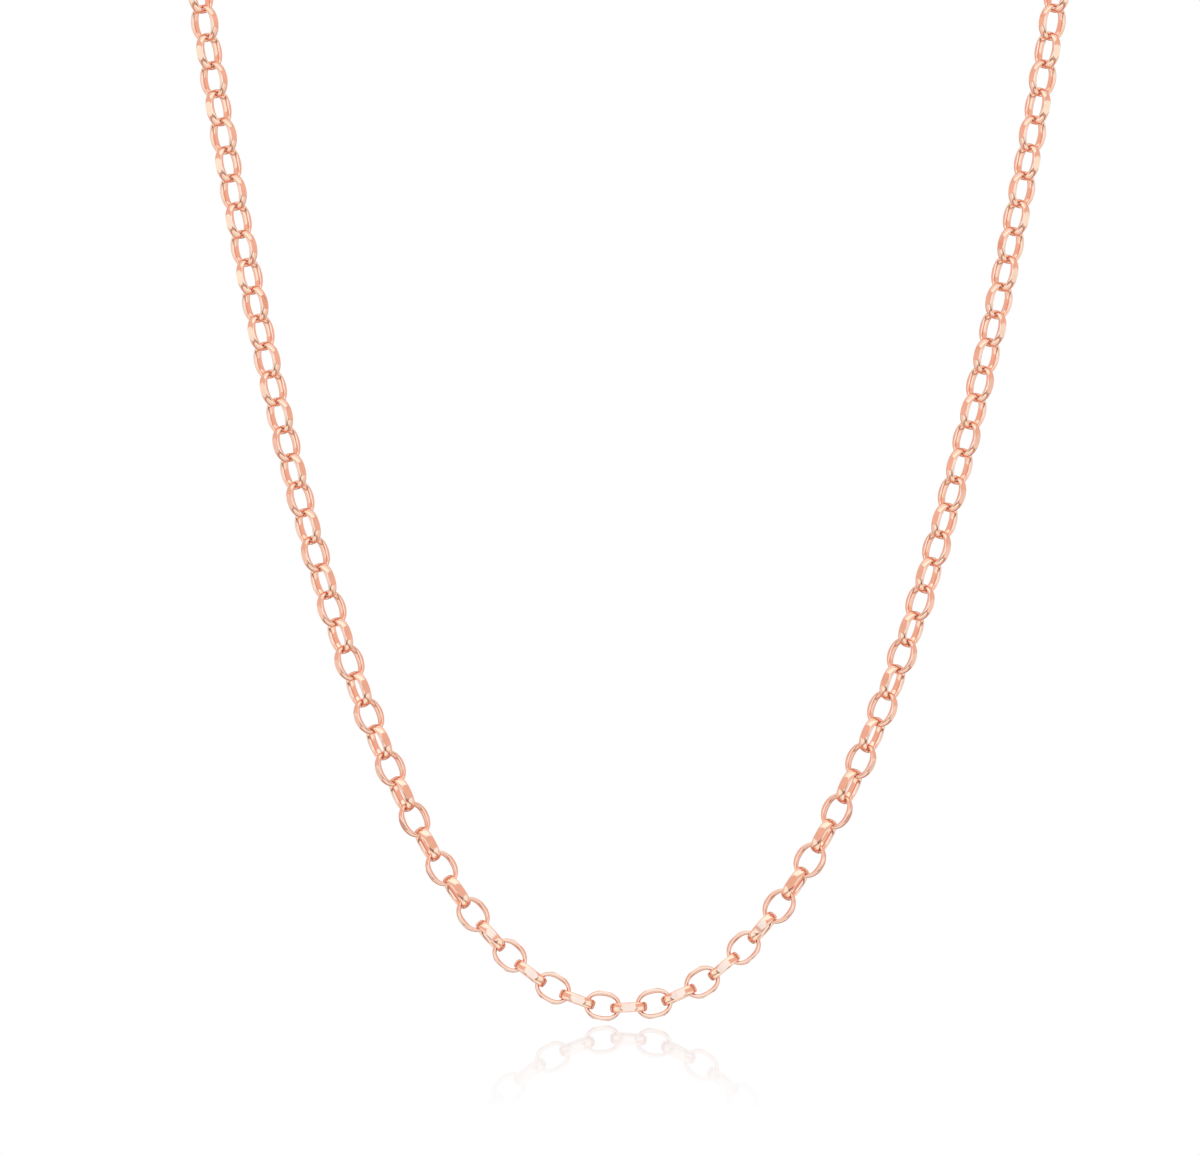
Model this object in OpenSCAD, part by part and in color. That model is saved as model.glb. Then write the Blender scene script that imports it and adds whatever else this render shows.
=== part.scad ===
// Oval belcher neck chain: two strings of interlocked oval links and a bolt-ring clasp.
// Lengths are in millimetres. The origin is the middle of the clasp at the nape,
// +Z is up, -Y is the front of the wearer and +X is the viewer's right.

/* [Link] */
// Outer length of a link
link_l = 4.6; // [4.6:0.02:4.66]
// Outer width of a link
link_w = 3.5; // [3.46:0.02:3.54]
// Width of the band that a link is bent from
band_w = 1.2; // [1.0:0.02:1.22]
// Thickness of the middle of the band
band_t = 0.5; // [0.44:0.01:0.5]
// Width of the level strip along the middle of the band
band_level = 0.56; // [0.4:0.02:0.56]
// Thickness of the band at its two edges
band_edge = 0.2; // [0.16:0.02:0.2]

/* [Chain] */
// Distance between the middles of neighbouring links where the chain is straight
link_pitch = 3.34; // [3.32:0.01:3.34]
// Play that the links take up at the lowest point, where the chain bends most
bend_play = 0.33; // [0.28:0.01:0.36]
// Half the length of the stretch at the bottom where they take it up
bend_reach = 19; // [17:1:21]
// How far the middle link sits to the right of the lowest point
mid_shift = 0.82; // [0:0.02:1]

/* [Roll of the links about the chain] */
// Roll at the lowest point, in degrees
roll_bottom = 4; // [0:1:10]
// Roll that the links tend to at the nape, in degrees
roll_top = 55; // [40:1:60]
// Length either side of the lowest point where the roll doesn't change
roll_start = 12.3; // [8:0.1:16]
// Length over which most of the roll builds up
roll_length = 45.8; // [40:0.1:60]

/* [Front drop] */
// Catenary size of the hanging front
drop_size = 24.85; // [22:0.05:28]
// Fullness of the front, where 1 is a true catenary
drop_full = 1.68; // [1.4:0.01:1.9]
// Height at which the strands leave the front plane
drop_h = 122; // [110:1:130]

/* [Round the neck] */
// Length of the arch from the front drop to the nape, measured along the sheet it lies in
arch_rise = 91; // [90:0.1:91]
// Roundness of the arch, where 0.55 is a quarter of an ellipse
arch_round = 0.55; // [0.5:0.01:0.6]
// Radius of the bend over the collarbone
bend_r = 34; // [34:1:42]
// Angle that the back leans away from the front plane, in degrees
bend_angle = 70; // [55:1:80]

/* [Clasp] */
// Outer diameter of the clasp ring
ring_d = 6.6; // [6.4:0.1:7]
// Thickness of the wire of the clasp ring
ring_wire = 1.3; // [1.1:0.1:1.4]
// Inner diameter of the eyelet beside the ring
eye_hole = 2.2; // [2.1:0.1:2.3]
// Thickness of the wire of the eyelet
eye_wire = 0.7; // [0.6:0.05:0.75]

/* [Hidden] */
$fn = 72;
rose_gold = [0.93, 0.67, 0.56];
clasp_gold = [0.90, 0.64, 0.53];
steps = 240;
near = 0.12;

// How far a link at the clasp stays off its wire, and the eyelet's hole off the ring
seat = 0.36;
eye_gap = 0.1;

// Hyperbolic functions of a plain number
function cosh(x) = (exp(x) + exp(-x)) / 2;
function sinh(x) = (exp(x) - exp(-x)) / 2;
function acosh(x) = ln(x + sqrt(x * x - 1));

// The chain's centre line, drawn on a sheet of [across, up]. The sheet is flat in front
// and bends back over the collarbone.
drop_w = drop_size * acosh(1 + drop_h / (drop_full * drop_size));
drop_lean = atan(1 / (drop_full * sinh(drop_w / drop_size)));
sheet_top = drop_h + arch_rise;
arch = [
    [drop_w, drop_h],
    [drop_w, drop_h] + arch_round * arch_rise * [sin(drop_lean), cos(drop_lean)],
    [arch_round * drop_w, sheet_top],
    [0, sheet_top]
];
function drop_point(u) = [u, drop_full * drop_size * (cosh(u / drop_size) - 1)];
function arch_point(t) =
    pow(1 - t, 3) * arch[0] + 3 * pow(1 - t, 2) * t * arch[1]
    + 3 * (1 - t) * t * t * arch[2] + pow(t, 3) * arch[3];
line = concat(
    [for (i = [0 : steps - 1]) drop_point(drop_w * i / steps)],
    [for (i = [0 : steps]) arch_point(i / steps)]
);

// Running length along the line from the lowest point, as tables of [length, value]
run = [for (i = 0, s = 0; i < len(line); i = i + 1, s = i < len(line) ? s + norm(line[i] - line[i - 1]) : s) s];
half_len = run[len(run) - 1];
across_table = [for (i = [0 : len(line) - 1]) [run[i], line[i][0]]];
up_table = [for (i = [0 : len(line) - 1]) [run[i], line[i][1]]];
function on_sheet(s) = [(s < 0 ? -1 : 1) * lookup(abs(s), across_table), lookup(abs(s), up_table)];
function heading(s) =
    let (d = on_sheet(s + near) - on_sheet(s - near)) d / norm(d);

// The sheet in space. The bend starts where the front drop ends.
bend_len = bend_r * bend_angle * PI / 180;
function bend_at(up) = max(0, min(bend_angle, (up - drop_h) / bend_r * 180 / PI));
function place(p) =
    let (a = bend_at(p[1]), flat = max(0, p[1] - drop_h - bend_len))
    [p[0],
     bend_r * (1 - cos(a)) + flat * sin(a),
     min(p[1], drop_h) + bend_r * sin(a) + flat * cos(a)];
function along(a, d) = [d[0], d[1] * sin(a), d[1] * cos(a)];
nape = place([0, sheet_top]);

// Where the links sit. The clasp takes the place of the last link of both strands.
inner_l = link_l - 2 * band_t;
ring_in = ring_d / 2 - ring_wire;
ring_reach = ring_in + inner_l / 2 - seat;
eye_x = ring_d / 2 + eye_hole / 2 + eye_gap;
eye_reach = eye_x + eye_hole / 2 + inner_l / 2 - seat;
clasp_reach = (ring_reach + eye_reach) / 2;
full_play = bend_play * bend_reach / link_pitch;
function nominal(k) = k * link_pitch - full_play * (1 - exp(-k * link_pitch / bend_reach));
last = 2 * round((half_len - clasp_reach + full_play) / link_pitch / 2 - 0.5) + 1;
fit = (half_len - clasp_reach) / nominal(last);
function spot(k) =
    let (s = sign(k) * nominal(abs(k)) * fit) s + mid_shift * (1 - abs(s) / nominal(last) / fit);

// Roll of the link that sits a length s along the chain
function roll(s) =
    roll_bottom + (roll_top - roll_bottom) * (1 - exp(-max(0, abs(s) - roll_start) / roll_length));

// A link is a long oval: two half rings with a short straight stretch between them
end_r = link_w / 2;
side_l = link_l - link_w;

// Section of the band, bevelled inside and out: x runs outwards, y across the band
module band_section() {
    corners = [
        [0, band_level / 2],
        [(band_edge - band_t) / 2, band_w / 2],
        [-(band_edge + band_t) / 2, band_w / 2],
        [-band_t, band_level / 2]
    ];
    polygon(concat(corners, [for (i = [3 : -1 : 0]) [corners[i][0], -corners[i][1]]]));
}

// One link, its length along X and its width along Y
module link() {
    for (turn = [0, 180]) rotate([0, 0, turn]) {
        translate([side_l / 2, 0, 0]) rotate([0, 0, -90])
            rotate_extrude(angle = 180) translate([end_r, 0]) band_section();
        translate([-side_l / 2, end_r, 0]) rotate([90, 0, 90]) linear_extrude(side_l) band_section();
    }
}

// Puts a link at its place, turned a quarter turn from its neighbours
module placed_link(k) {
    s = spot(k);
    p = on_sheet(s);
    a = bend_at(p[1]);
    d = heading(s);
    ahead = along(a, d);
    outward = along(a, [d[1], -d[0]]);
    front = [0, -cos(a), sin(a)];
    turn = roll(s) + (k % 2 == 0 ? 90 : 0);
    wide = cos(turn) * outward + sin(turn) * front;
    thick = cross(ahead, wide);
    o = place(p) - nape;
    multmatrix([
        [ahead[0], wide[0], thick[0], o[0]],
        [ahead[1], wide[1], thick[1], o[1]],
        [ahead[2], wide[2], thick[2], o[2]]
    ]) link();
}

module chain_left() {
    color(rose_gold) for (k = [-last : -1]) placed_link(k);
}

module chain_right() {
    color(rose_gold) for (k = [0 : last]) placed_link(k);
}

// A ring of round wire about the Z axis
module wire_ring(inner_r, wire) {
    rotate_extrude() translate([inner_r + wire / 2, 0]) circle(wire / 2);
}

module clasp() {
    tilt = roll(half_len) + 90;
    sag = sheet_top - on_sheet(half_len - clasp_reach + inner_l / 2)[1];
    low = place([0, sheet_top - sag]) - nape;
    back = along(bend_angle, [0, 1]);
    front = [0, -cos(bend_angle), sin(bend_angle)];
    wide = cos(tilt) * back + sin(tilt) * front;
    thick = cross([-1, 0, 0], wide);
    color(clasp_gold) multmatrix([
        [-1, wide[0], thick[0], low[0]],
        [0, wide[1], thick[1], low[1]],
        [0, wide[2], thick[2], low[2]]
    ]) translate([(ring_reach - eye_reach) / 2, 0, 0]) {
        wire_ring(ring_in, ring_wire);
        translate([eye_x, 0, 0]) wire_ring(eye_hole / 2, eye_wire);
    }
}

chain_left();
chain_right();
clasp();
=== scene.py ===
"""Looks of the oval belcher neck chain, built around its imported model. Lengths here are in
millimetres, and are turned into metres where Blender takes them."""
import math

import bpy
import numpy as np
from mathutils import Matrix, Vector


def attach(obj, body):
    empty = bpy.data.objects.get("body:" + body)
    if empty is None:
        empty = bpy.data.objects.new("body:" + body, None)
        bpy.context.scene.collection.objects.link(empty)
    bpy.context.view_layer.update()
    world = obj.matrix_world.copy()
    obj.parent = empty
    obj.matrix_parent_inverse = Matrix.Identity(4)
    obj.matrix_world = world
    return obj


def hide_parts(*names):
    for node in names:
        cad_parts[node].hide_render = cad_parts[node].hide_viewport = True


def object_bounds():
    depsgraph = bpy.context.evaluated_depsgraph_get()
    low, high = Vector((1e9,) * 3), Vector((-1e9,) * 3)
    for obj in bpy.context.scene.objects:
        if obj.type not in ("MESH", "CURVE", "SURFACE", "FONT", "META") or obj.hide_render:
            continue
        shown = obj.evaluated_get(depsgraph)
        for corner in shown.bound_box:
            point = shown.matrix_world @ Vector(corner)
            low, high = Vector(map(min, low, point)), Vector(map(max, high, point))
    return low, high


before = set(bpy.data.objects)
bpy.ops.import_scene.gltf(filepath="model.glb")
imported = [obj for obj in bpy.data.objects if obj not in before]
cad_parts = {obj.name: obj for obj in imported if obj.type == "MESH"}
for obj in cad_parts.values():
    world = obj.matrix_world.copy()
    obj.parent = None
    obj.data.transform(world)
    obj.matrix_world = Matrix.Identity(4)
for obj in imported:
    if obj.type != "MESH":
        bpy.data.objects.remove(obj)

MM = 0.001
cad_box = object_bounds()

# Sizes of the solids. LAST links on each side of the middle one stand PITCH apart, closer by PLAY
# at the lowest point, which wears off over PLAY_REACH. The middle one stands MID_SHIFT to the right
# of that point.
LINK_L, BAND_T = 4.6, 0.5
PITCH, PLAY, PLAY_REACH, MID_SHIFT = 3.34, 0.33, 19.0, 0.82
LAST = 75
# The clasp: SEAT is the play of the last links on its wires, EYE_GAP is from its ring to the hole
# of its eyelet
RING_D, RING_WIRE, EYE_HOLE, EYE_WIRE = 6.6, 1.3, 2.2, 0.7
SEAT, EYE_GAP = 0.36, 0.1

# Finished link: a domed band round an oval, UNCUT_W wide until it is cut to a slightly domed oval
# facet on the outside of both long sides. It is a little smaller than the solids' link, and nearly
# touches its neighbours.
FINE_L, FINE_W, UNCUT_W = 4.44, 3.45, 3.64
FINE_BAND, FINE_T_END, FINE_T_SIDE = 1.14, 0.49, 0.66
FACET_R = 7.5
OUTLINE_POWER, HOLE_POWER = 2.0, 2.4
OUTSIDE_POWER, INSIDE_POWER = 2.4, 2.3
# In front their ends are thicker by up to MORE, to leave the play REST between neighbours
MORE, REST, FRONT_LINKS = 0.055, 0.045, 39

# Fineness of a link's mesh: steps on a quarter of the outline, how many of them lie on the facet,
# steps on half of the section, and half the narrowest strip along the band's middle
QUARTER_STEPS, FACET_STEPS = 18, 5
HALF_STEPS = 8
STRIP_HALF = 0.15
# Steps of the dense curves that its points are picked from, and slack against rounding
CURVE_STEPS, TINY = 4000, 1e-9
# Thicknesses tried for the band, how far sideways a wall that is cut faces, and how near to the
# cut's end a point counts as on its edge
THINNEST, THICKEST, THICKNESS_STEPS = 0.2, 1.2, 2001
SIDEWAYS = 0.5
ON_EDGE = 1e-3
# Share of the band's depth at which its inside begins, and how fast that grows to full; there the
# links' colour is painted a shade deeper
INSIDE_FROM, INSIDE_RISE = 0.5, 3

# The links hang a little unevenly: the usual step of the roll and of the swing, in degrees, and how
# many such steps a link is off at most
ROLL_SPREAD, SWING_SPREAD = 1.2, 0.5
MOST_STEPS, SEED = 2, 16

# Roll of the links about the chain, in degrees and lengths along it
ROLL_BOTTOM, ROLL_TOP, ROLL_START, ROLL_LENGTH = 4.0, 55.0, 12.3, 45.8

# Route: a full catenary in front, an arch round the neck, on a sheet bent over the collarbone
DROP_SIZE, DROP_FULL, DROP_H = 24.85, 1.68, 122.0
ARCH_RISE, ARCH_ROUND = 91.0, 0.55
BEND_R, BEND_ANGLE = 34.0, math.radians(70)
ROUTE_STEPS = 2000
# A heading is taken between two points this far to both sides
NEAR = 0.12

# Finished clasp: a tube with a thinner gate, a thumb stud and solder at the eyelet
GATE_FROM, GATE_TO = math.radians(62), math.radians(122)
TUBE_R, COLLAR_R, GATE_R = 0.61, 0.65, 0.42
COLLAR_LONG = math.radians(6)
STUD_AT, STUD_R = math.radians(44), 0.34
SOLDER_R = 0.42
RING_STEPS, EYE_STEPS, WIRE_SIDES = 160, 96, 20
BALL_STEPS, BALL_SIDES = 24, 16
CLASP_VOXEL = 0.06
SOFTEN, SOFTEN_TIMES = 0.5, 3

# Polished rose gold: colours, and how rough it is
# The second link colour is painted shade: a slightly deeper tone for the links' insides
LINK_ROSE, LINK_SHADED_INSIDE, LINK_ROUGHNESS = (0.93, 0.585, 0.46), (0.93, 0.57, 0.445), 0.06
CLASP_ROSE, CLASP_ROUGHNESS = (0.92, 0.54, 0.41), 0.08
# its drift in colour, with the deepest as a share of the plain colour
DRIFT_SCALE, DRIFT_DETAIL, DRIFT_DEEPEST = 420, 3, 0.96
# its polishing streaks, with the glossiest and dullest as shares of its roughness
POLISH_SCALE, POLISH_DETAIL = 3000, 6
GLOSSIEST, DULLEST = 0.6, 1.4
STREAK_STRENGTH, STREAK_DEPTH = 0.03, 0.02
# Values between which nearly all of a noise lies
LOW_NOISE, HIGH_NOISE = 0.3, 0.7
WHITE = (1, 1, 1, 1)

# Picture: its size, the scale at the chain, the pixel of the lowest point, and how much it leans
PHOTO_W, PHOTO_H = 1200, 1155
MM_PER_PIXEL = 0.1174
DROP_PIXEL = (621.66, 1007.49)
LEAN = math.radians(0.366)
CAMERA_AWAY = 800.0
CLIP_NEAR, CLIP_FAR = 10.0, 20000.0
SENSOR = 36.0

# Floor
FLOOR_GAP = 0.15
FLOOR_HALF = 6000.0
MIRROR_SHARE, MIRROR_FADE, MIRROR_ROUGHNESS = 0.34, 130.0, 0.03

# Light that the metal reflects, by degrees away from the front
COOL, CREAM, PALE = (1.08, 1.42, 1.62), (1.1, 1.34, 1.3), (1.04, 1.14, 1.2)
TAN, ROSE, BROWN = (0.97, 0.92, 0.87), (0.9, 0.97, 1.0), (0.68, 0.5, 0.44)
SHADE = (0.5, 0.39, 0.37)
ABOVE = (
    (0, COOL), (26, COOL), (32, ROSE), (46, ROSE), (54, CREAM), (86, CREAM), (92, TAN), (124, TAN),
    (130, BROWN), (152, BROWN), (164, PALE), (180, PALE),
)
# and below the horizon, where a dark strip lies in front of the chain
BELOW = ABOVE[:2] + ((32, SHADE), (46, SHADE)) + ABOVE[4:]
BELOW_FROM, BELOW_TO = -0.12, -0.28
# and how it changes with height: brown near the table's edge, brighter overhead
PLAIN, EDGE, OVERHEAD = (1, 1, 1), (0.6, 0.4, 0.34), (1.15, 1.15, 1.15)
LEVELS = (
    (-1, PLAIN), (-0.76, PLAIN), (-0.72, EDGE), (-0.6, EDGE), (-0.56, PLAIN), (0.5, PLAIN),
    (0.7, OVERHEAD), (1, OVERHEAD),
)
# All of these stay under BRIGHTEST, and the light is uneven by the share UNEVEN
BRIGHTEST = 2.0
UNEVEN_SCALE, UNEVEN_DETAIL, UNEVEN = 2.5, 2, 0.16

# Salmon band at both sides of the studio, above the horizon: its heights and where it starts
SALMON = (0.93, 0.7, 0.61)
BAND_LOW, BAND_HIGH, BAND_ASIDE, BAND_SOFT = 0.08, 0.67, 0.31, 0.04


class Route:
    """The chain's centre line by running length from its lowest point, right side positive."""

    def __init__(self):
        self.drop_w = DROP_SIZE * math.acosh(1 + DROP_H / (DROP_FULL * DROP_SIZE))
        lean = math.atan(1 / (DROP_FULL * math.sinh(self.drop_w / DROP_SIZE)))
        self.top = DROP_H + ARCH_RISE
        u = self.drop_w * np.linspace(0, 1, ROUTE_STEPS, endpoint=False)
        drop = np.column_stack([u, DROP_FULL * DROP_SIZE * (np.cosh(u / DROP_SIZE) - 1)])
        start = np.array([self.drop_w, DROP_H])
        handle = ARCH_ROUND * ARCH_RISE * np.array([math.sin(lean), math.cos(lean)])
        level = np.array([ARCH_ROUND * self.drop_w, self.top])
        nape = np.array([0, self.top])
        t = np.linspace(0, 1, ROUTE_STEPS)[:, None]
        arch = ((1 - t) ** 3 * start + 3 * (1 - t) ** 2 * t * (start + handle)
                + 3 * (1 - t) * t ** 2 * level + t ** 3 * nape)
        self.line = np.vstack([drop, arch])
        steps = np.linalg.norm(np.diff(self.line, axis=0), axis=1)
        self.run = np.concatenate([[0], np.cumsum(steps)])
        self.half = self.run[-1]

    def on_sheet(self, s):
        """A place on the sheet laid flat: across and up from the lowest point."""
        across = np.interp(abs(s), self.run, self.line[:, 0])
        return np.array([math.copysign(across, s), np.interp(abs(s), self.run, self.line[:, 1])])

    def heading(self, s):
        d = self.on_sheet(s + NEAR) - self.on_sheet(s - NEAR)
        return d / np.linalg.norm(d)

    def bend(self, up):
        """Angle by which the sheet is bent, this far up it."""
        return min(max((up - DROP_H) / BEND_R, 0), BEND_ANGLE)

    def place(self, p):
        """A point of the flat sheet once it is bent: across, back and up."""
        a = self.bend(p[1])
        flat = max(0, p[1] - DROP_H - BEND_R * BEND_ANGLE)
        return np.array([p[0], BEND_R * (1 - math.cos(a)) + flat * math.sin(a),
                         min(p[1], DROP_H) + BEND_R * math.sin(a) + flat * math.cos(a)])

    def in_space(self, p):
        """A point of the sheet in the part's frame, whose origin is the nape."""
        return self.place(p) - self.place((0, self.top))


def along(a, d):
    """A direction of the sheet, in space, where the sheet is bent by the angle a."""
    return np.array([d[0], d[1] * math.sin(a), d[1] * math.cos(a)])


def front_of(a):
    """The way that the sheet's front faces there."""
    return np.array([0, -math.cos(a), math.sin(a)])


route = Route()
inner_l = LINK_L - 2 * BAND_T
ring_in = RING_D / 2 - RING_WIRE
ring_reach = ring_in + inner_l / 2 - SEAT
eye_x = RING_D / 2 + EYE_HOLE / 2 + EYE_GAP
eye_reach = eye_x + EYE_HOLE / 2 + inner_l / 2 - SEAT
clasp_reach = (ring_reach + eye_reach) / 2


def nominal(k):
    """Running length to link k before the whole is fitted to the loop."""
    return k * PITCH - PLAY * PLAY_REACH / PITCH * (1 - math.exp(-k * PITCH / PLAY_REACH))


def spot(k):
    """Running length at which link k lies, counted from the lowest point."""
    reach = route.half - clasp_reach
    s = math.copysign(nominal(abs(k)) * reach / nominal(LAST), k) if k else 0
    return s + MID_SHIFT * (1 - abs(s) / reach)


def roll(s):
    """Turn of the links about the chain, in radians."""
    grown = 1 - math.exp(-max(0, abs(s) - ROLL_START) / ROLL_LENGTH)
    return math.radians(ROLL_BOTTOM + (ROLL_TOP - ROLL_BOTTOM) * grown)


def axes_at(s, turn):
    """Columns: along the chain, across the link, through the link. Then the place."""
    p = route.on_sheet(s)
    a = route.bend(p[1])
    d = route.heading(s)
    ahead = along(a, d)
    wide = math.cos(turn) * along(a, (d[1], -d[0])) + math.sin(turn) * front_of(a)
    return np.column_stack([ahead, wide, np.cross(ahead, wide)]), route.in_space(p)


# Link
def half_curve(a, b, powers):
    """Upper half of a superellipse from +X to -X, with one power on each side of the middle."""
    angle = math.pi * np.arange(CURVE_STEPS + 1) / CURVE_STEPS
    c, s = np.cos(angle), np.sin(angle)
    power = np.where(c > 0, powers[0], powers[1])
    return np.column_stack([a * np.sign(c) * np.abs(c) ** (2 / power), b * s ** (2 / power)])


def spread(curve, steps):
    """Picks points of a dense curve, its ends included, even in length and in turning."""
    ahead = np.diff(curve, axis=0)
    length = np.linalg.norm(ahead, axis=1)
    angle = np.unwrap(np.arctan2(ahead[:, 1], ahead[:, 0]))
    turn = np.abs(np.diff(angle, prepend=angle[0]))
    run = np.concatenate([[0], np.cumsum(length / length.sum() + turn / turn.sum())])
    return curve[np.searchsorted(run, run[-1] * np.arange(steps + 1) / steps - TINY)]


def thickness(place, out, end):
    """Distance from a point of the outline to the hole, straight inwards."""
    t = np.linspace(THINNEST, THICKEST, THICKNESS_STEPS)
    hole = (FINE_L / 2 - end, UNCUT_W / 2 - FINE_T_SIDE)
    inwards = np.abs(place - out * t[:, None]) / hole
    return t[np.argmax((inwards ** HOLE_POWER).sum(axis=1) < 1)]


def facet_at(x):
    """How far out a facet lies, at a place along the link."""
    return FINE_W / 2 - x ** 2 / 2 / FACET_R


def outline_quarter():
    """Outline of the uncut link from the middle of a long side to an end, with outward directions."""
    dense = half_curve(FINE_L / 2, UNCUT_W / 2, (OUTLINE_POWER,) * 2)[CURVE_STEPS // 2::-1]
    ahead = np.gradient(dense, axis=0)
    out = np.column_stack([-ahead[:, 1], ahead[:, 0]])
    out /= np.linalg.norm(out, axis=1)[:, None]
    end = int(np.argmax(dense[1:, 1] < facet_at(dense[1:, 0]))) + 1
    shares = [math.sin(math.pi / 2 * i / FACET_STEPS) for i in range(FACET_STEPS)]
    facet = [dense[int(round(end * share))] for share in shares]
    outline = np.vstack([facet, spread(dense[end:], QUARTER_STEPS - FACET_STEPS)])
    pick = [int(np.argmin(np.linalg.norm(dense - point, axis=1))) for point in outline]
    return outline, out[pick]


def section(place, out, thick):
    """Closed section of the band: the facet's middle, its edge, the side, the inside and back."""
    curve = half_curve(thick / 2, FINE_BAND / 2, (OUTSIDE_POWER, INSIDE_POWER)) - [thick / 2, 0]
    top = 0
    if abs(out[1]) > SIDEWAYS:
        top = min(0, (facet_at(place[0]) - abs(place[1])) / abs(out[1]))
    edge = int(np.argmax((curve[:, 0] < top) & (curve[:, 1] > STRIP_HALF)))
    half = spread(curve[edge:], HALF_STEPS)
    return np.vstack([[top, 0], half, half[-2::-1] * [1, -1]])


def mirrored(rows):
    """A quarter of the outline turned into all of it."""
    half = np.vstack([rows, rows[-2::-1] * [1, -1]])
    return np.vstack([half, half[-2:0:-1] * [-1, 1]])


def tube_quads(rings, sides):
    """Quads of a closed tube whose points go round each section in turn."""
    i, j = np.meshgrid(np.arange(rings), np.arange(sides), indexing="ij")
    nxt, up = (i + 1) % rings, (j + 1) % sides
    quads = np.stack([i * sides + j, nxt * sides + j, nxt * sides + up, i * sides + up], axis=-1)
    return quads.reshape(-1, 4)


def link_mesh(end):
    """Points, quads, facet edges and inside share of a link along X whose ends are this thick."""
    outline, out = (mirrored(rows) for rows in outline_quarter())
    points, crease, inside = [], [], []
    for place, normal in zip(outline, out):
        thick = thickness(place, normal, end)
        band = section(place, normal, thick)
        cut = abs(place[1]) - facet_at(place[0])
        for number, (x, z) in enumerate(band):
            points.append((place[0] + normal[0] * x, place[1] + normal[1] * x, z))
            corner = number in (1, len(band) - 1)
            crease.append((corner and cut > -ON_EDGE) or (number == 0 and abs(cut) < ON_EDGE))
            # share of the painted shade that deepens the colour on the band's inside
            inside.append(min(max(-INSIDE_RISE * (x / thick + INSIDE_FROM), 0), 1))
    quads = tube_quads(len(outline), len(band))[:, ::-1]
    return np.array(points), quads, np.array(crease), np.array(inside)


def mesh_object(name, points, faces):
    mesh = bpy.data.meshes.new(name)
    mesh.from_pydata(points.tolist(), [], faces.tolist())
    mesh.polygons.foreach_set("use_smooth", [True] * len(mesh.polygons))
    mesh.validate()
    obj = bpy.data.objects.new(name, mesh)
    bpy.context.scene.collection.objects.link(obj)
    return obj


def joined(parts):
    """One list of points and one of faces from several."""
    starts = np.cumsum([0] + [len(points) for points, _ in parts[:-1]])
    return (np.vstack([points for points, _ in parts]),
            np.vstack([faces + start for (_, faces), start in zip(parts, starts)]))


def fullness(k):
    """Share of MORE by which a link's ends are thicker."""
    if abs(k) > FRONT_LINKS:
        return 0
    play = FINE_L - 2 * FINE_T_END - (spot(k + 1) - spot(k - 1)) / 2
    return min(max((play - REST) / 2 / MORE, 0), 1)


def chain(name, links):
    """A string of links as one mesh, each about a quarter turn from its neighbours."""
    points, quads, crease, inside = link_mesh(FINE_T_END)
    full = link_mesh(FINE_T_END + MORE)[0]
    uneven = np.random.default_rng(abs(links[0]) + SEED)
    placed = []
    for k in links:
        steps = np.clip(uneven.normal(size=2), -MOST_STEPS, MOST_STEPS)
        more, swing = np.radians(steps * (ROLL_SPREAD, SWING_SPREAD))
        turn = roll(spot(k)) + (math.pi / 2 if k % 2 == 0 else 0) + more
        axes, place = axes_at(spot(k), turn)
        c, s = math.cos(swing), math.sin(swing)
        axes = axes @ np.array([[c, -s, 0], [s, c, 0], [0, 0, 1]])
        shape = points + fullness(k) * (full - points)
        placed.append((shape @ axes.T + place, quads))
    points, quads = joined(placed)
    obj = mesh_object(name, points * MM, quads)
    mesh = obj.data
    ends = np.empty(2 * len(mesh.edges), dtype=np.int32)
    mesh.edges.foreach_get("vertices", ends)
    sharp = np.tile(crease, len(placed))[ends.reshape(-1, 2)].all(axis=1)
    mesh.attributes.new("sharp_edge", "BOOLEAN", "EDGE").data.foreach_set("value", sharp)
    # where the links' colour is painted a shade deeper
    share = mesh.attributes.new("inside", "FLOAT", "POINT")
    share.data.foreach_set("value", np.tile(inside, len(placed)).astype(np.float32))
    return obj


# Clasp
def hoop(middle_r, radius_at, steps):
    """A ring of round wire about the Z axis, its radius a function of the angle."""
    turn = 2 * math.pi * np.arange(steps) / steps
    round_wire = 2 * math.pi * np.arange(WIRE_SIDES) / WIRE_SIDES
    wire = radius_at(turn)[:, None]
    reach = middle_r + wire * np.cos(round_wire)
    points = np.stack([reach * np.cos(turn)[:, None], reach * np.sin(turn)[:, None],
                       wire * np.sin(round_wire)], axis=-1)
    return points.reshape(-1, 3), tube_quads(steps, WIRE_SIDES)


def ball(centre, radii):
    """An ellipsoid with a thin tunnel at its poles, closed when the clasp is fused."""
    up = math.pi * (np.arange(BALL_SIDES) + 0.5) / BALL_SIDES
    turn = 2 * math.pi * np.arange(BALL_STEPS) / BALL_STEPS
    points = np.stack([np.outer(np.cos(turn), np.sin(up)), np.outer(np.sin(turn), np.sin(up)),
                       np.tile(np.cos(up), (BALL_STEPS, 1))], axis=-1)
    return points.reshape(-1, 3) * radii + centre, tube_quads(BALL_STEPS, BALL_SIDES)


def ring_radius(turn):
    """Radius of the clasp's wire: a tube with collars at both ends of a thinner gate."""
    off = np.minimum(np.abs(turn - GATE_FROM), np.abs(turn - GATE_TO))
    gate = (turn > GATE_FROM) & (turn < GATE_TO)
    return np.where(gate, GATE_R, np.where(off < COLLAR_LONG, COLLAR_R, TUBE_R))


def eye_radius(turn):
    return np.full_like(turn, EYE_WIRE / 2)


def fused(rough):
    """The parts of a rough object as one mesh with softened joins. The object is removed."""
    fuse = rough.modifiers.new("fuse", "REMESH")
    fuse.mode = "VOXEL"
    fuse.voxel_size = CLASP_VOXEL
    soften = rough.modifiers.new("soften", "SMOOTH")
    soften.factor, soften.iterations = SOFTEN, SOFTEN_TIMES
    finished = rough.evaluated_get(bpy.context.evaluated_depsgraph_get())
    mesh = bpy.data.meshes.new_from_object(finished)
    bpy.data.objects.remove(rough)
    mesh.polygons.foreach_set("use_smooth", [True] * len(mesh.polygons))
    return mesh


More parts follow.
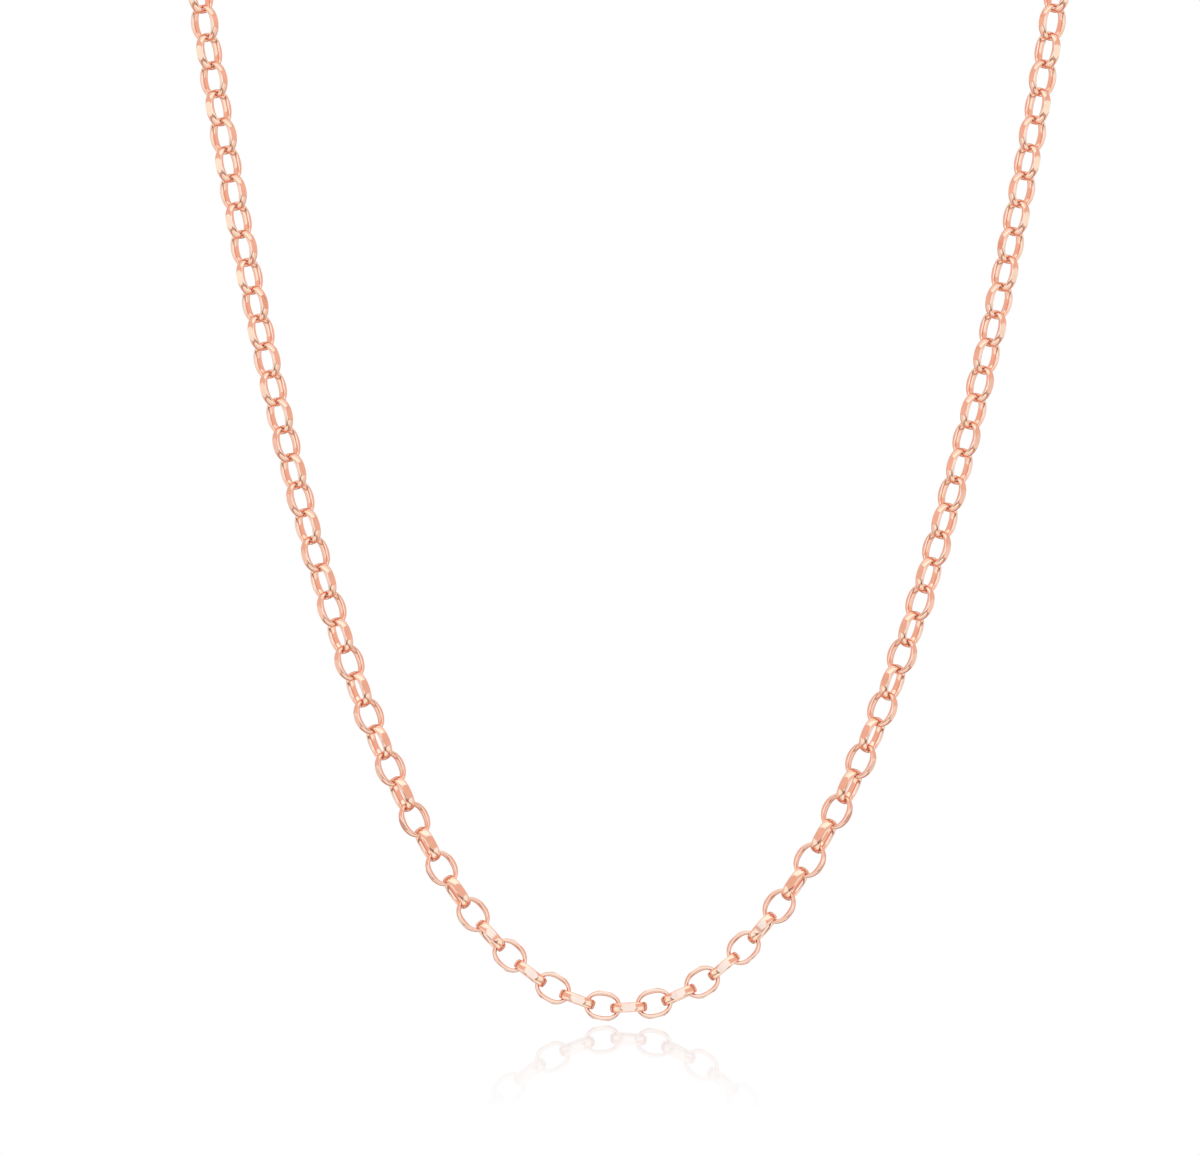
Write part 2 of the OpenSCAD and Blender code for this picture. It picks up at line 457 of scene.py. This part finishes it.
def clasp_placing():
    """Matrix that tilts the clasp and brings it to the nape, as in the solids."""
    tilt = roll(route.half) + math.pi / 2
    sag = route.top - route.on_sheet(route.half - clasp_reach + inner_l / 2)[1]
    wide = math.cos(tilt) * along(BEND_ANGLE, (0, 1)) + math.sin(tilt) * front_of(BEND_ANGLE)
    ahead = np.array([-1, 0, 0])
    placing = np.eye(4)
    placing[:3, :3] = np.column_stack([ahead, wide, np.cross(ahead, wide)]) * MM
    placing[:3, 3] = route.in_space((0, route.top - sag)) * MM
    return Matrix(placing.tolist())


def clasp(name):
    """Bolt ring and eyelet as one fused mesh."""
    ring_mid = ring_in + RING_WIRE / 2
    stud = ring_mid + TUBE_R
    shift = np.array([(ring_reach - eye_reach) / 2, 0, 0])
    eye_points, eye_quads = hoop(EYE_HOLE / 2 + EYE_WIRE / 2, eye_radius, EYE_STEPS)
    points, faces = joined([
        hoop(ring_mid, ring_radius, RING_STEPS),
        (eye_points + [eye_x, 0, 0], eye_quads),
        ball(np.array([stud * math.cos(STUD_AT), stud * math.sin(STUD_AT), 0]), STUD_R),
        ball(np.array([RING_D / 2 - EYE_GAP, 0, 0]), np.array([SOLDER_R, SOLDER_R, EYE_WIRE / 2])),
    ])
    mesh = fused(mesh_object(name + "_rough", points + shift, faces))
    mesh.transform(clasp_placing())
    obj = bpy.data.objects.new(name, mesh)
    bpy.context.scene.collection.objects.link(obj)
    return obj


# Camera
def add_camera():
    """View of the front that shows the lowest point at its pixel."""
    data = bpy.data.cameras.new("camera")
    data.sensor_fit = "HORIZONTAL"
    data.sensor_width = SENSOR
    data.lens = SENSOR * CAMERA_AWAY / (PHOTO_W * MM_PER_PIXEL)
    data.clip_start, data.clip_end = CLIP_NEAR * MM, CLIP_FAR * MM
    camera = bpy.data.objects.new("camera", data)
    bpy.context.scene.collection.objects.link(camera)
    low = route.in_space((0, 0))
    right = (DROP_PIXEL[0] - PHOTO_W / 2) * MM_PER_PIXEL
    down = (DROP_PIXEL[1] - PHOTO_H / 2) * MM_PER_PIXEL
    x = low[0] - right * math.cos(LEAN) - down * math.sin(LEAN)
    z = low[2] + down * math.cos(LEAN) - right * math.sin(LEAN)
    camera.location = (x * MM, (low[1] - CAMERA_AWAY) * MM, z * MM)
    camera.rotation_euler = (math.pi / 2, -LEAN, 0)
    bpy.context.scene.camera = camera


# Nodes of the materials and of the studio
def ranged(tree, source, start, to=(0, 1)):
    """The source mapped from one range to another, and held at its ends."""
    node = tree.nodes.new("ShaderNodeMapRange")
    for name, value in zip(("From Min", "From Max", "To Min", "To Max"), (*start, *to)):
        node.inputs[name].default_value = value
    tree.links.new(source, node.inputs["Value"])
    return node.outputs["Result"]


def noise(tree, place, scale, detail):
    node = tree.nodes.new("ShaderNodeTexNoise")
    node.inputs["Scale"].default_value = scale
    node.inputs["Detail"].default_value = detail
    tree.links.new(place, node.inputs["Vector"])
    return node.outputs["Fac"]


def graded(tree, source, stops):
    """A colour for the source, from rows of a place and its colour."""
    node = tree.nodes.new("ShaderNodeValToRGB")
    elements = node.color_ramp.elements
    while len(elements) < len(stops):
        elements.new(1)
    for element, (place, colour) in zip(elements, stops):
        element.position = place
        element.color = [*colour, 1]
    tree.links.new(source, node.inputs["Fac"])
    return node.outputs["Color"]


def blended(tree, share, first, second, how="MIX"):
    """Two colours blended by a share. Each of the three is an output or a plain value."""
    node = tree.nodes.new("ShaderNodeMix")
    node.data_type, node.blend_type = "RGBA", how
    for name, value in (("Factor", share), ("A", first), ("B", second)):
        if isinstance(value, bpy.types.NodeSocket):
            tree.links.new(value, node.inputs[name])
        else:
            node.inputs[name].default_value = value
    return node.outputs["Result"]


def scaled(colour, share):
    return [c * share for c in colour]


# Materials
def rose_gold(name, colour, roughness, inside=None):
    """Polished rose gold: faint streaks of polishing in its gloss and a slight drift of its colour.
    The insides of links may have a deeper tone: painted shade, for the dimmer light that they reflect."""
    material = bpy.data.materials.new(name)
    material.use_nodes = True
    tree = material.node_tree
    base = tree.nodes["Principled BSDF"]
    base.inputs["Metallic"].default_value = 1
    place = tree.nodes.new("ShaderNodeTexCoord").outputs["Object"]
    drift = noise(tree, place, DRIFT_SCALE, DRIFT_DETAIL)
    tint = graded(tree, drift, ((LOW_NOISE, scaled(colour, DRIFT_DEEPEST)), (HIGH_NOISE, colour)))
    if inside:
        # painted shade: the colour deepened on the links' insides
        share = tree.nodes.new("ShaderNodeAttribute")
        share.attribute_name = "inside"
        tint = blended(tree, share.outputs["Fac"], tint, [*inside, 1])
    tree.links.new(tint, base.inputs["Base Color"])
    polish = noise(tree, place, POLISH_SCALE, POLISH_DETAIL)
    gloss = ranged(tree, polish, (0, 1), (roughness * GLOSSIEST, roughness * DULLEST))
    tree.links.new(gloss, base.inputs["Roughness"])
    bump = tree.nodes.new("ShaderNodeBump")
    bump.inputs["Strength"].default_value = STREAK_STRENGTH
    bump.inputs["Distance"].default_value = STREAK_DEPTH * MM
    tree.links.new(polish, bump.inputs["Height"])
    tree.links.new(bump.outputs["Normal"], base.inputs["Normal"])
    return material


def floor_material(foot):
    """White lit table with a faint mirror that fades away from the chain's foot."""
    material = bpy.data.materials.new("floor")
    material.use_nodes = True
    tree = material.node_tree
    tree.nodes.remove(tree.nodes["Principled BSDF"])
    lit = tree.nodes.new("ShaderNodeEmission")
    lit.inputs["Color"].default_value = WHITE
    mirror = tree.nodes.new("ShaderNodeBsdfAnisotropic")
    mirror.inputs["Roughness"].default_value = MIRROR_ROUGHNESS
    mirror.inputs["Color"].default_value = WHITE
    place = tree.nodes.new("ShaderNodeTexCoord").outputs["Object"]
    away = tree.nodes.new("ShaderNodeVectorMath")
    away.operation = "DISTANCE"
    away.inputs[1].default_value = foot
    tree.links.new(place, away.inputs[0])
    mix = tree.nodes.new("ShaderNodeMixShader")
    fade = ranged(tree, away.outputs["Value"], (0, MIRROR_FADE * MM), (MIRROR_SHARE, 0))
    tree.links.new(fade, mix.inputs["Fac"])
    tree.links.new(lit.outputs["Emission"], mix.inputs[1])
    tree.links.new(mirror.outputs["BSDF"], mix.inputs[2])
    tree.links.new(mix.outputs["Shader"], tree.nodes["Material Output"].inputs["Surface"])
    return material


def add_floor():
    size, z = FLOOR_HALF * MM, cad_box[0][2] - FLOOR_GAP * MM
    corners = np.array([(-size, -size, z), (size, -size, z), (size, size, z), (-size, size, z)])
    floor = mesh_object("floor", corners, np.array([[0, 1, 2, 3]]))
    floor.data.materials.append(floor_material((0, cad_box[0][1], z)))
    floor.visible_glossy = False


# Studio
def in_salmon_band(tree, direction):
    """Share by which a direction lies in the salmon band: between its heights and to one side."""
    aside = tree.nodes.new("ShaderNodeMath")
    aside.operation = "ABSOLUTE"
    tree.links.new(direction["X"], aside.inputs[0])
    share = None
    for source, edge, side in ((direction["Z"], BAND_LOW, 1), (direction["Z"], BAND_HIGH, -1),
                               (aside.outputs["Value"], BAND_ASIDE, 1)):
        soft = side * BAND_SOFT / 2
        limit = ranged(tree, source, (edge - soft, edge + soft))
        if share:
            both = tree.nodes.new("ShaderNodeMath")
            both.operation = "MULTIPLY"
            tree.links.new(share, both.inputs[0])
            tree.links.new(limit, both.inputs[1])
            limit = both.outputs["Value"]
        share = limit
    return share


def studio_colour(tree, direction):
    """Colour of the studio by the angle from the front, by height and in the salmon band. It is
    divided by the square of BRIGHTEST, so that its ramps stay within 1."""
    front = ranged(tree, direction["Y"], (1, -1))
    above, below = (
        graded(tree, front, [
            (0.5 + 0.5 * math.cos(math.radians(angle)), scaled(colour, 1 / BRIGHTEST))
            for angle, colour in reversed(stops)
        ])
        for stops in (ABOVE, BELOW)
    )
    panels = blended(tree, ranged(tree, direction["Z"], (BELOW_FROM, BELOW_TO)), above, below)
    height = ranged(tree, direction["Z"], (-1, 1))
    levels = graded(tree, height, [((z + 1) / 2, scaled(level, 1 / BRIGHTEST)) for z, level in LEVELS])
    raised = blended(tree, 1, panels, levels, "MULTIPLY")
    salmon = [*scaled(SALMON, 1 / BRIGHTEST ** 2), 1]
    return blended(tree, in_salmon_band(tree, direction), raised, salmon)


def add_world():
    """The studio as the metal reflects it. The camera sees plain white instead."""
    world = bpy.data.worlds.new("studio")
    bpy.context.scene.world = world
    world.use_nodes = True
    tree = world.node_tree
    place = tree.nodes.new("ShaderNodeTexCoord").outputs["Generated"]
    direction = tree.nodes.new("ShaderNodeSeparateXYZ")
    tree.links.new(place, direction.inputs["Vector"])
    clouds = noise(tree, place, UNEVEN_SCALE, UNEVEN_DETAIL)
    strength = ranged(tree, clouds, (LOW_NOISE, HIGH_NOISE),
                      (BRIGHTEST ** 2 * (1 - UNEVEN / 2), BRIGHTEST ** 2 * (1 + UNEVEN / 2)))
    reflected = tree.nodes["Background"]
    tree.links.new(studio_colour(tree, direction.outputs), reflected.inputs["Color"])
    tree.links.new(strength, reflected.inputs["Strength"])

    plain = tree.nodes.new("ShaderNodeBackground")
    plain.inputs["Color"].default_value = WHITE
    seen = tree.nodes.new("ShaderNodeLightPath")
    mix = tree.nodes.new("ShaderNodeMixShader")
    tree.links.new(seen.outputs["Is Camera Ray"], mix.inputs["Fac"])
    tree.links.new(reflected.outputs["Background"], mix.inputs[1])
    tree.links.new(plain.outputs["Background"], mix.inputs[2])
    tree.links.new(mix.outputs["Shader"], tree.nodes["World Output"].inputs["Surface"])
    bpy.context.scene.view_settings.view_transform = "Standard"


add_camera()
add_floor()
add_world()
link_gold = rose_gold("link_gold", LINK_ROSE, LINK_ROUGHNESS, LINK_SHADED_INSIDE)
clasp_gold = rose_gold("clasp_gold", CLASP_ROSE, CLASP_ROUGHNESS)
for name, links in (("chain_left", range(-LAST, 0)), ("chain_right", range(0, LAST + 1))):
    piece = chain(name + "_links", links)
    piece.data.materials.append(link_gold)
    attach(piece, "root")
    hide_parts(name)
bolt_ring = clasp("bolt_ring")
bolt_ring.data.materials.append(clasp_gold)
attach(bolt_ring, "root")
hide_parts("clasp")
